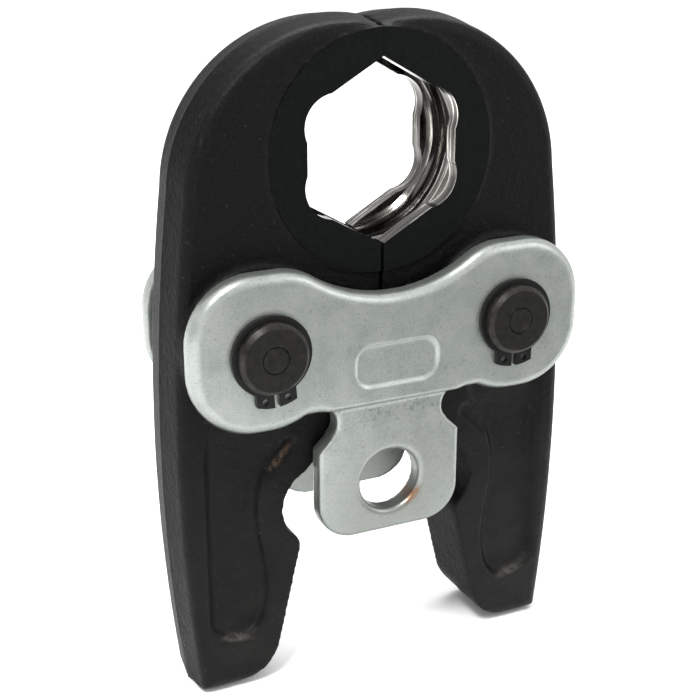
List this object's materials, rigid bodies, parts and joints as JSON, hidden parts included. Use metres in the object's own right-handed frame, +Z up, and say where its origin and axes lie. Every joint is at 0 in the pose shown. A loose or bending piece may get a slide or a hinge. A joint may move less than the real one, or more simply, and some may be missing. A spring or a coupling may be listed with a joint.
{
  "type": "press fitting tool jaw",
  "caption": "Two forged jaw arms on pivot pins between plated side plates, closing a lobed hexagon die round a tube fitting; the tool drives rollers between the arm tips.",
  "frame": {"origin": "on the axis of the tool pin bore, midway between the two side plates", "axes": "+X across the jaw to its right arm, +Y along the pins to the back, +Z up from the tool pin to the die"},
  "size_m": [0.0934, 0.039, 0.144],
  "materials": {
    "jaw_steel": "forged steel with a black phosphate and oil finish",
    "plated_steel": "blanked steel plate, zinc plated, handled and slightly grimy",
    "pin_steel": "turned steel, black oxide",
    "spring_steel": "punched spring steel, black and oiled",
    "spring_wire": "drawn spring wire"
  },
  "bodies": {
    "plate_frame": {"front_plate": "plated_steel", "back_plate": "plated_steel", "left_pivot_pin": "pin_steel", "right_pivot_pin": "pin_steel", "front_left_retaining_ring": "spring_steel", "front_right_retaining_ring": "spring_steel", "back_left_retaining_ring": "spring_steel", "back_right_retaining_ring": "spring_steel", "closing_spring": "spring_wire"},
    "left_arm": {"left_jaw": "jaw_steel"},
    "right_arm": {"right_jaw": "jaw_steel"}
  },
  "joints": [
    {"name": "left_arm_pivot", "type": "hinge", "parent": "plate_frame", "child": "left_arm", "pos_m": [-0.0282, 0, 0.0338], "axis": [0, -1, 0], "range_deg": [0, 18], "stiffness_Nm_per_rad": 2, "springref_deg": -28.65, "deforming": ["closing_spring"]},
    {"name": "right_arm_pivot", "type": "hinge", "parent": "plate_frame", "child": "right_arm", "pos_m": [0.0282, 0, 0.0338], "axis": [0, 1, 0], "range_deg": [0, 18], "stiffness_Nm_per_rad": 2, "springref_deg": -28.65}
  ]
}
